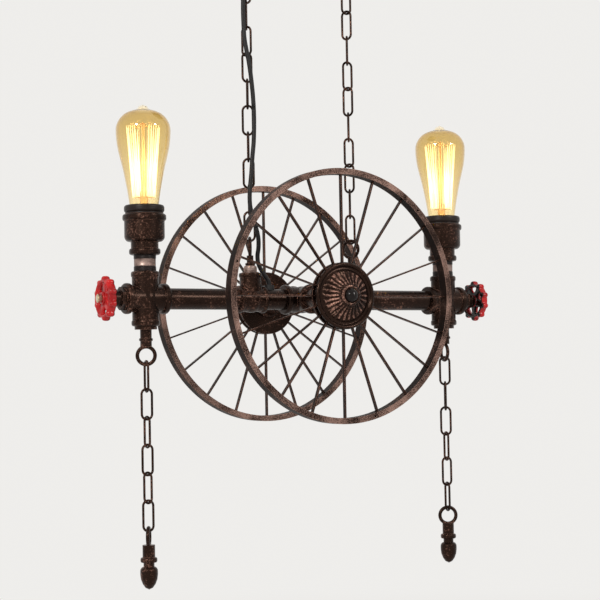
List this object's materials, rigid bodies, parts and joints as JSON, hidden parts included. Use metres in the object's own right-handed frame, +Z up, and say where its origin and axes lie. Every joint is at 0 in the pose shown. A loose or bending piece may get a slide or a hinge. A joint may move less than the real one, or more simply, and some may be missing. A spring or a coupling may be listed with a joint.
{
  "type": "pendant light",
  "caption": "Pipe-and-wheel pendant light on chains: a pipe cross carries spoked wheels, amber bulbs in bell cups, red valve handwheels and hanging chains with finials.",
  "frame": {"origin": "on the ceiling, at the middle of the bracket's two screw holes", "axes": "+Z up to the ceiling, X along the arms that carry the lamps, Y along the axle of the two wheels (front is -Y)"},
  "size_m": [0.5392, 0.2484, 0.7858],
  "materials": {
    "bracket_steel": "plain zinc-plated strip",
    "canopy_bronze": "dark bronze lacquer, satin",
    "eye_bronze": "dark bronze with copper rubbed on the raised parts",
    "chain_bronze": "dark bronze with copper rubbed on the raised parts",
    "pipe_bronze": "black-brown bronze with copper-red rubbed highlights",
    "bare_nipple": "dull steel with a pink cast between dark threads",
    "hanger_metal": "dull steel with brown in the hollows",
    "rim_bronze": "dark bronze with speckled copper on the edges",
    "spoke_bronze": "dark bronze with copper rubbed on the edges",
    "dome_bronze": "dark bronze with copper on the flutes",
    "ball_black": "black lacquer, glossy",
    "nut_zinc": "zinc-plated",
    "holder_black": "black moulded plastic",
    "cord_black": "black cable sheath",
    "bushing_black": "black moulded bushing",
    "flex_white": "white wire insulation",
    "terminal_ivory": "ivory moulded block",
    "shell_brass": "pressed brass",
    "bulb_amber": "amber clear glass",
    "filament_glow": "glowing carbon wires on a glass stem",
    "handwheel_red": "glossy red enamel",
    "stem_brass": "turned brass"
  },
  "bodies": {
    "ceiling": {"ceiling_bracket": "bracket_steel", "canopy": "canopy_bronze", "ceiling_eyes": "eye_bronze", "eye_nuts": "nut_zinc", "cord_grip": "bushing_black", "terminal_block": "terminal_ivory"},
    "left_top_link": {"left_top_link": "chain_bronze"},
    "right_top_link": {"right_top_link": "chain_bronze"},
    "left_chain": {"left_upper_chain": "chain_bronze", "power_cord": "cord_black"},
    "right_chain": {"right_upper_chain": "chain_bronze"},
    "left_bottom_link": {"left_bottom_link": "chain_bronze"},
    "right_bottom_link": {"right_bottom_link": "chain_bronze"},
    "lamp_frame": {"centre_cross": "pipe_bronze", "axle_pipes": "pipe_bronze", "axle_end_bolts": "ball_black", "axle_locknuts": "pipe_bronze", "left_tee": "pipe_bronze", "right_tee": "pipe_bronze", "left_nipple": "pipe_bronze", "right_nipple": "pipe_bronze", "lamp_nipples": "bare_nipple", "left_arm_pipe": "pipe_bronze", "right_arm_pipe": "pipe_bronze", "cord_grommet": "bushing_black", "hanger_eyes": "hanger_metal", "left_end_cross": "pipe_bronze", "right_end_cross": "pipe_bronze", "left_lamp_cup": "pipe_bronze", "right_lamp_cup": "pipe_bronze", "left_lampholder": "holder_black", "right_lampholder": "holder_black", "lampholder_shells": "shell_brass", "left_bulb_glass": "bulb_amber", "right_bulb_glass": "bulb_amber", "bulb_caps": "shell_brass", "bulb_filaments": "filament_glow", "inner_wiring": "flex_white", "valve_bonnets": "pipe_bronze", "lower_eyes": "eye_bronze"},
    "left_valve": {"left_valve_stem": "stem_brass", "left_handwheel": "handwheel_red", "left_handwheel_nut": "stem_brass"},
    "right_valve": {"right_valve_stem": "stem_brass", "right_handwheel": "handwheel_red", "right_handwheel_nut": "stem_brass"},
    "left_drop_link": {"left_lower_top_link": "chain_bronze"},
    "left_drop_chain": {"left_lower_chain": "chain_bronze"},
    "left_drop_finial": {"left_finial": "eye_bronze"},
    "right_drop_link": {"right_lower_top_link": "chain_bronze"},
    "right_drop_chain": {"right_lower_chain": "chain_bronze"},
    "right_drop_finial": {"right_finial": "eye_bronze"},
    "front_wheel": {"front_rim": "rim_bronze", "front_spokes": "spoke_bronze", "front_hub": "pipe_bronze", "front_dome": "dome_bronze"},
    "back_wheel": {"back_rim": "rim_bronze", "back_spokes": "spoke_bronze", "back_hub": "pipe_bronze", "back_dome": "dome_bronze"}
  },
  "joints": [
    {"name": "left_swing", "type": "hinge", "parent": "ceiling", "child": "left_top_link", "pos_m": [-0.071, 0, -0.0545], "axis": [1, 0, 0], "range_deg": [-15, 15]},
    {"name": "left_sway", "type": "hinge", "parent": "left_top_link", "child": "left_chain", "pos_m": [-0.071, 0, -0.0867], "axis": [0, 1, 0], "range_deg": [-12, 12], "deforming": ["power_cord"]},
    {"name": "left_level", "type": "hinge", "parent": "left_chain", "child": "left_bottom_link", "pos_m": [-0.071, 0, -0.3474], "axis": [0, 1, 0], "range_deg": [-12, 12]},
    {"name": "frame_tilt", "type": "hinge", "parent": "left_bottom_link", "child": "lamp_frame", "pos_m": [-0.071, 0, -0.3796], "axis": [1, 0, 0], "range_deg": [-12, 12]},
    {"name": "right_swing", "type": "hinge", "parent": "ceiling", "child": "right_top_link", "pos_m": [0.071, 0, -0.0545], "axis": [1, 0, 0], "range_deg": [-15, 15]},
    {"name": "right_sway", "type": "hinge", "parent": "right_top_link", "child": "right_chain", "pos_m": [0.071, 0, -0.0867], "axis": [0, 1, 0], "range_deg": [-12, 12]},
    {"name": "right_level", "type": "hinge", "parent": "right_chain", "child": "right_bottom_link", "pos_m": [0.071, 0, -0.3474], "axis": [0, 1, 0], "range_deg": [-12, 12]},
    {"name": "front_wheel_spin", "type": "hinge", "parent": "lamp_frame", "child": "front_wheel", "pos_m": [0, -0.097, -0.4501], "axis": [0, 1, 0], "continuous": true},
    {"name": "back_wheel_spin", "type": "hinge", "parent": "lamp_frame", "child": "back_wheel", "pos_m": [0, 0.097, -0.4501], "axis": [0, 1, 0], "continuous": true},
    {"name": "left_valve_turn", "type": "hinge", "parent": "lamp_frame", "child": "left_valve", "pos_m": [-0.26, 0, -0.4501], "axis": [1, 0, 0], "continuous": true},
    {"name": "right_valve_turn", "type": "hinge", "parent": "lamp_frame", "child": "right_valve", "pos_m": [0.26, 0, -0.4501], "axis": [1, 0, 0], "continuous": true},
    {"name": "left_drop_sway", "type": "hinge", "parent": "lamp_frame", "child": "left_drop_link", "pos_m": [-0.209, 0, -0.5226], "axis": [0, 1, 0], "range_deg": [-20, 20]},
    {"name": "left_drop_swing", "type": "hinge", "parent": "left_drop_link", "child": "left_drop_chain", "pos_m": [-0.209, 0, -0.5548], "axis": [1, 0, 0], "range_deg": [-20, 20]},
    {"name": "left_finial_swing", "type": "hinge", "parent": "left_drop_chain", "child": "left_drop_finial", "pos_m": [-0.209, 0, -0.7189], "axis": [1, 0, 0], "range_deg": [-20, 20]},
    {"name": "right_drop_sway", "type": "hinge", "parent": "lamp_frame", "child": "right_drop_link", "pos_m": [0.209, 0, -0.5265], "axis": [0, 1, 0], "range_deg": [-20, 20]},
    {"name": "right_drop_swing", "type": "hinge", "parent": "right_drop_link", "child": "right_drop_chain", "pos_m": [0.209, 0, -0.5579], "axis": [1, 0, 0], "range_deg": [-20, 20]},
    {"name": "right_finial_swing", "type": "hinge", "parent": "right_drop_chain", "child": "right_drop_finial", "pos_m": [0.209, 0, -0.715], "axis": [1, 0, 0], "range_deg": [-20, 20]}
  ],
  "couplings": [
    {"joint": "left_level", "follows": "left_sway", "ratio": -1},
    {"joint": "right_swing", "follows": "left_swing", "ratio": 1},
    {"joint": "right_sway", "follows": "left_sway", "ratio": 1},
    {"joint": "right_level", "follows": "left_sway", "ratio": -1}
  ]
}
